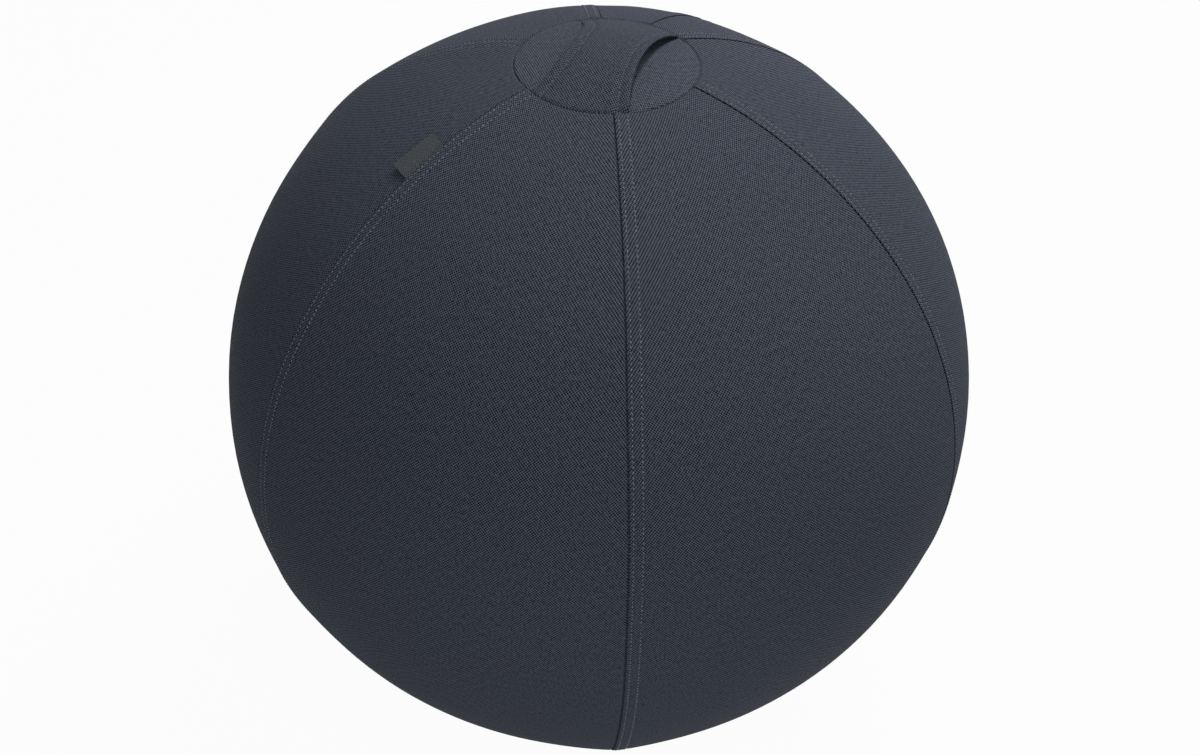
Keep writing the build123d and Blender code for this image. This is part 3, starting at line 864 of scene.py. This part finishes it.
def airBladder():
    profile = [(r * mm, sqrt((h * mm) ** 2 - (r * mm) ** 2)) for r, h in bladder["boss"]]
    for turn in np.linspace(bladder["bossReach"] / bladder["radius"], pi, bladder["rings"]):
        profile.append((bladder["radius"] * sin(turn), bladder["radius"] * cos(turn)))
    bm = spunProfile(profile, bladder["steps"])
    turnOutward(bm, (0, 0, 0))
    axis = Vector(ballPoint(bladder["valveAzimuth"], bladder["valvePolar"], 1.0).tolist()) - ballMiddle
    bmesh.ops.rotate(bm, verts=bm.verts[:], cent=(0, 0, 0), matrix=axis.to_track_quat("Z", "Y").to_matrix())
    bmesh.ops.translate(bm, verts=bm.verts[:], vec=ballMiddle)
    bmesh.ops.bisect_plane(bm, geom=bm.verts[:] + bm.edges[:] + bm.faces[:],
                           plane_co=(0, 0, bladder["floor"]), plane_no=(0, 0, -1), clear_outer=True)
    justOver = bladder["floor"] + 1 * mm
    rim = [edge for edge in bm.edges if edge.is_boundary and edge.verts[0].co.z < justOver]
    bmesh.ops.contextual_create(bm, geom=rim)
    obj = keepObject("airBladder", bm)
    smoothFaces(obj)
    addWall(obj, bladder["wall"])
    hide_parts("bladder")
    return obj


pouch = {   # rings by their radius, in mm, from the bottom round to the top
    "bottomRings": (0, 12, 24, 36, 46, 52),
    "bottom": 1.5 * mm,
    "bowlRings": (58, 118, 13),   # first, last and count
    "bowlRadius": 322.6 * mm,
    "rim": ((120.0, 19.2), (121.2, 19.9), (120.6, 20.6), (118.6, 20.4)),   # with their heights
    "topRings": (114, 104, 90, 70, 50, 30, 12, 0),
    "top": 21.4 * mm,
    "topOuter": 100,   # rings outside this lie lower
    "topDrop": 0.2 * mm,
    "wrinkle": 0.35 * mm,
    "wrinkleRun": (90.0 * mm, 120.0 * mm),
    "steps": 144,
}


def ballastPouch():
    profile = [(r * mm, pouch["bottom"]) for r in pouch["bottomRings"]]
    for r in np.linspace(*pouch["bowlRings"]) * mm:
        profile.append((r, ballMiddle.z - sqrt(pouch["bowlRadius"] ** 2 - r * r)))
    profile += [(r * mm, height * mm) for r, height in pouch["rim"]]
    for r in pouch["topRings"]:
        profile.append((r * mm, pouch["top"] - pouch["topDrop"] * (r > pouch["topOuter"])))
    bm = spunProfile(profile, pouch["steps"])
    bmesh.ops.recalc_face_normals(bm, faces=bm.faces[:])
    obj = keepObject("ballastPouch", bm)
    points = readPoints(obj)
    turn = np.arctan2(points[:, 1], points[:, 0])
    reach = np.hypot(points[:, 0], points[:, 1])
    wave = np.sin(18 * turn) + 0.6 * np.sin(31 * turn + 1.0)
    inward = pouch["wrinkle"] * (1 + wave / 1.6) * smoothStep(*pouch["wrinkleRun"], reach)
    points[:, :2] *= (1 - inward / np.maximum(reach, 1 * mm))[:, None]
    writePoints(obj, points)
    setCut(obj, points[:, :2])
    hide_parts("ballast_pouch")
    return obj


airBag, ballastBag = airBladder(), ballastPouch()
print("bladder and ballast made")


# Materials and the world: their nodes
def nodeMaker(owner):
    owner.use_nodes = True
    tree = owner.node_tree
    tree.nodes.clear()

    def make(kind, inputs=None, **settings):
        node = tree.nodes.new(kind)
        for key, value in settings.items():
            setattr(node, key, value)
        for key, value in (inputs or {}).items():
            if isinstance(value, bpy.types.NodeSocket):
                tree.links.new(value, node.inputs[key])
            else:
                node.inputs[key].default_value = value
        return node

    return make


def maths(make, operation, first, second=0.0, third=0.0):
    return make("ShaderNodeMath", {0: first, 1: second, 2: third}, operation=operation).outputs[0]


def noise(make, vector, scale, detail=1.0):
    return make("ShaderNodeTexNoise", {"Vector": vector, "Scale": scale, "Detail": detail}).outputs["Fac"]


def stretched(make, vector, scale):
    return make("ShaderNodeMapping", {"Vector": vector, "Scale": scale}).outputs[0]


def colourRamp(make, fac, low, high, lowAt=0.0, highAt=1.0):
    ramp = make("ShaderNodeValToRGB", {"Fac": fac})
    ramp.color_ramp.elements[0].position = lowAt
    ramp.color_ramp.elements[0].color = (*low, 1)
    ramp.color_ramp.elements[1].position = highAt
    ramp.color_ramp.elements[1].color = (*high, 1)
    return ramp.outputs[0]


def finishMaterial(make, inputs):
    shader = make("ShaderNodeBsdfPrincipled", inputs)
    make("ShaderNodeOutputMaterial", {"Surface": shader.outputs[0]})


# Cover cloth: a plain canvas weave on the flat cut, with uneven threads
coverCloth = {
    "thread": (0.108, 0.123, 0.16),
    "gap": (0.004, 0.005, 0.008),
    "ramp": (0.25, 0.75),
    "pitch": 2.4 * mm,
    "uneven": 0.45,
    "dash": (1.5, 0.5),   # uneven stretches across and along, in one pitch
    "speck": 1.3,
    "roughness": 0.9,
    "specular": 0.08,
    "bump": 0.5,
    "bumpDepth": 0.3 * mm,
}
clothLooks = {   # by material, what differs from the cover
    "wovenCover": {},
    "discWeave": {"thread": (0.121, 0.138, 0.177)},
    "strapWeave": {"thread": (0.104, 0.118, 0.153)},
    "tightBaseWeave": {"thread": (0.045, 0.05, 0.062), "gap": (0.014, 0.016, 0.02), "pitch": 1.4 * mm},
    "zipTapeWeave": {"thread": (0.05, 0.056, 0.07), "gap": (0.018, 0.02, 0.026), "pitch": 1.2 * mm},
    "labelRibbonWeave": {"thread": (0.115, 0.127, 0.135), "gap": (0.038, 0.043, 0.047), "pitch": 1.8 * mm},
    "pouchLining": {"thread": (0.25, 0.25, 0.25), "gap": (0.12, 0.12, 0.12), "pitch": 1.0 * mm},
}


def clothMaterial(name, look):
    material = bpy.data.materials.new(name)
    make = nodeMaker(material)
    cut = make("ShaderNodeUVMap", uv_map="cut").outputs["UV"]
    split = make("ShaderNodeSeparateXYZ", {0: cut})
    turns = 2 * pi / look["pitch"]
    warp = maths(make, "SINE", maths(make, "MULTIPLY", split.outputs[0], turns))
    weft = maths(make, "SINE", maths(make, "MULTIPLY", split.outputs[1], turns))
    weave = maths(make, "MULTIPLY_ADD", maths(make, "MULTIPLY", warp, weft), 0.5, 0.5)
    across, along = (count / look["pitch"] for count in look["dash"])
    dash = noise(make, stretched(make, cut, (across, along, 1)), 1.0)
    speck = noise(make, cut, look["speck"] / look["pitch"])
    uneven = maths(make, "MULTIPLY_ADD", maths(make, "ADD", dash, speck), look["uneven"], -look["uneven"])
    tone = maths(make, "ADD", weave, uneven)
    bump = make("ShaderNodeBump", {"Height": tone, "Strength": look["bump"], "Distance": look["bumpDepth"]})
    finishMaterial(make, {
        "Base Color": colourRamp(make, tone, look["gap"], look["thread"], *look["ramp"]),
        "Roughness": look["roughness"],
        "Specular IOR Level": look["specular"],
        "Normal": bump.outputs[0],
    })
    return material


# Threads and the smooth or hard pieces: light tone, dark tone, fineness of the mottling, roughness
mottledLooks = {
    "topstitchThread": ((0.195, 0.214, 0.247), (0.08, 0.089, 0.108), 450.0, 0.6),
    # the ladder thread's tones are kept darker than the cloth: painted shade of the groove it lies in
    "ladderThreadGrooveShade": ((0.035, 0.039, 0.048), (0.012, 0.014, 0.018), 450.0, 0.6),
    "strapThread": ((0.085, 0.095, 0.118), (0.035, 0.04, 0.05), 450.0, 0.6),
    "coilNylon": ((0.05, 0.056, 0.07), (0.028, 0.032, 0.04), 900.0, 0.38),
    "zipEnamel": ((0.048, 0.053, 0.064), (0.03, 0.034, 0.042), 300.0, 0.32),
    "bladderRubber": ((0.34, 0.35, 0.37), (0.25, 0.26, 0.28), 60.0, 0.55),
    "plugPlastic": ((0.78, 0.78, 0.77), (0.68, 0.68, 0.67), 200.0, 0.4),
    "ballastGrain": ((0.55, 0.51, 0.44), (0.22, 0.2, 0.17), 700.0, 0.8),
}
mottle = {"ramp": (0.3, 0.65), "bump": 0.3, "bumpDepth": 0.1 * mm}


def mottledMaterial(name, light, dark, fineness, roughness):
    material = bpy.data.materials.new(name)
    make = nodeMaker(material)
    place = make("ShaderNodeTexCoord").outputs["Object"]
    grain = noise(make, place, fineness)
    depth = {"Strength": mottle["bump"], "Distance": mottle["bumpDepth"]}
    bump = make("ShaderNodeBump", {"Height": grain, **depth})
    finishMaterial(make, {
        "Base Color": colourRamp(make, grain, dark, light, *mottle["ramp"]),
        "Roughness": roughness,
        "Normal": bump.outputs[0],
    })
    return material


materials = {name: clothMaterial(name, {**coverCloth, **look}) for name, look in clothLooks.items()}
for name, look in mottledLooks.items():
    materials[name] = mottledMaterial(name, *look)


def paint(obj, material):
    obj.data.materials.clear()
    obj.data.materials.append(materials[material])


def dress(obj, material, body=None):
    paint(obj, material)
    if body:
        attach(obj, body)


for cloth, rows in zip(coverPieces, stitchPieces):
    dress(cloth, "wovenCover", "ball")
    for row in rows:
        dress(row, "topstitchThread", "ball")
dress(topCloth, "discWeave", "ball")
dress(baseCloth, "tightBaseWeave", "ball")
dress(topLadder, "ladderThreadGrooveShade", "ball")
dress(baseLadder, "ladderThreadGrooveShade", "ball")
for cloth, rows in strapPieces:
    dress(cloth, "strapWeave")
    dress(rows, "strapThread")
dress(labelRibbon, "labelRibbonWeave")
for tape, coil in zipPieces:
    dress(tape, "zipTapeWeave", "ball")
    dress(coil, "coilNylon", "ball")
dress(airBag, "bladderRubber", "ball")
dress(ballastBag, "pouchLining", "ball")
keptNodes = {
    **dict.fromkeys(("zip_top_stop", "zip_bottom_stop", "zip_slider", "zip_pull"), "zipEnamel"),
    "valve_seat": "bladderRubber",
    "valve_plug": "plugPlastic",
    "ballast_granulate": "ballastGrain",
}
for node, material in keptNodes.items():
    paint(frame["nodes"][node], material)

print("materials and cuts set")

# Camera at the photograph's angle, a little rolled
view = {
    "azimuth": 25.15,
    "elevation": 40.80,
    "distance": 4.38 * ball["radius"],
    "roll": 1.74,
    "focal": 1582.0,   # in the photograph's pixels, as are the next three
    "pictureWidth": 1200.0,
    "middleRight": -2.3,   # where the ball's middle lies from the picture's middle
    "middleUp": 1.9,
    "sensorWidth": 36.0,
    "nearest": 0.05,
}


def aimCamera():
    turn, rise = radians(view["azimuth"]), radians(view["elevation"])
    back = Vector((sin(turn) * cos(rise), -cos(turn) * cos(rise), sin(rise)))
    right = Vector((0, 0, 1)).cross(back).normalized()
    up = back.cross(right)
    roll = radians(view["roll"])
    right, up = cos(roll) * right + sin(roll) * up, cos(roll) * up - sin(roll) * right
    eye = ballMiddle + back * view["distance"]
    offset = right * view["middleRight"] + up * view["middleUp"]
    aim = ballMiddle - offset * view["distance"] / view["focal"]
    away = (eye - aim).normalized()
    right = (right - away * right.dot(away)).normalized()
    up = away.cross(right)
    data = bpy.data.cameras.new("camera")
    data.lens = view["focal"] / view["pictureWidth"] * view["sensorWidth"]
    data.sensor_width = view["sensorWidth"]
    data.clip_start = view["nearest"]
    camera = bpy.data.objects.new("camera", data)
    camera.matrix_world = Matrix((right, up, away)).transposed().to_4x4()
    camera.location = eye
    bpy.context.scene.collection.objects.link(camera)
    bpy.context.scene.camera = camera


aimCamera()
print("camera set")

# Studio: pale floor, white all round, a large soft light overhead and two weaker ones
studio = {
    "floorSize": 14.0,
    "floorColour": (0.62, 0.62, 0.62),
    "floorDarker": 0.98,   # its other tone
    "floorMottle": 3.0,
    "shadowShare": 0.035,   # how much of the floor's own shading the camera sees
    "ambient": 0.175,
    "overhead": {"place": (0.35, 1.45, 3.0), "size": 1.6, "power": 67.0},
    "side": {"place": (1.65, -1.45, 2.0), "size": 1.8, "power": 15.0},
    "front": {"place": (0.9, -2.3, 0.9), "size": 2.0, "power": 7.5},
}


def whiteToCamera(make):   # 1 for the rays that should meet plain white
    path = make("ShaderNodeLightPath")
    seen = maths(make, "MAXIMUM", path.outputs["Is Camera Ray"], path.outputs["Is Glossy Ray"])
    return maths(make, "MAXIMUM", seen, path.outputs["Is Transmission Ray"])


def makeFloor():
    bm = bmesh.new()
    bmesh.ops.create_grid(bm, x_segments=1, y_segments=1, size=studio["floorSize"] / 2)
    floor = keepObject("floor", bm)
    material = bpy.data.materials.new("paleFloor")
    make = nodeMaker(material)
    place = make("ShaderNodeTexCoord").outputs["Object"]
    low = [studio["floorDarker"] * c for c in studio["floorColour"]]
    tone = colourRamp(make, noise(make, place, studio["floorMottle"]), low, studio["floorColour"])
    matt = make("ShaderNodeBsdfDiffuse", {"Color": tone}).outputs[0]
    white = make("ShaderNodeEmission", {"Color": (1, 1, 1, 1), "Strength": 1.0}).outputs[0]
    share = maths(make, "MULTIPLY", whiteToCamera(make), 1 - studio["shadowShare"])
    mix = make("ShaderNodeMixShader", {0: share, 1: matt, 2: white}).outputs[0]
    make("ShaderNodeOutputMaterial", {"Surface": mix})
    floor.data.materials.append(material)


def makeWorld():
    world = bpy.data.worlds.new("studio")
    bpy.context.scene.world = world
    make = nodeMaker(world)
    strength = maths(make, "MULTIPLY_ADD", whiteToCamera(make), 1 - studio["ambient"], studio["ambient"])
    sky = make("ShaderNodeBackground", {"Color": (1, 1, 1, 1), "Strength": strength}).outputs[0]
    make("ShaderNodeOutputWorld", {"Surface": sky})


def addLight(name):
    lamp = studio[name]
    data = bpy.data.lights.new(name, "AREA")
    data.energy = lamp["power"]
    data.size = lamp["size"]
    obj = bpy.data.objects.new(name, data)
    obj.location = lamp["place"]
    obj.rotation_euler = (Vector(lamp["place"]) - ballMiddle).to_track_quat("Z", "Y").to_euler()
    bpy.context.scene.collection.objects.link(obj)


makeFloor()
makeWorld()
for lampName in ("overhead", "side", "front"):
    addLight(lampName)
bpy.context.scene.view_settings.view_transform = "Standard"
print("studio set")
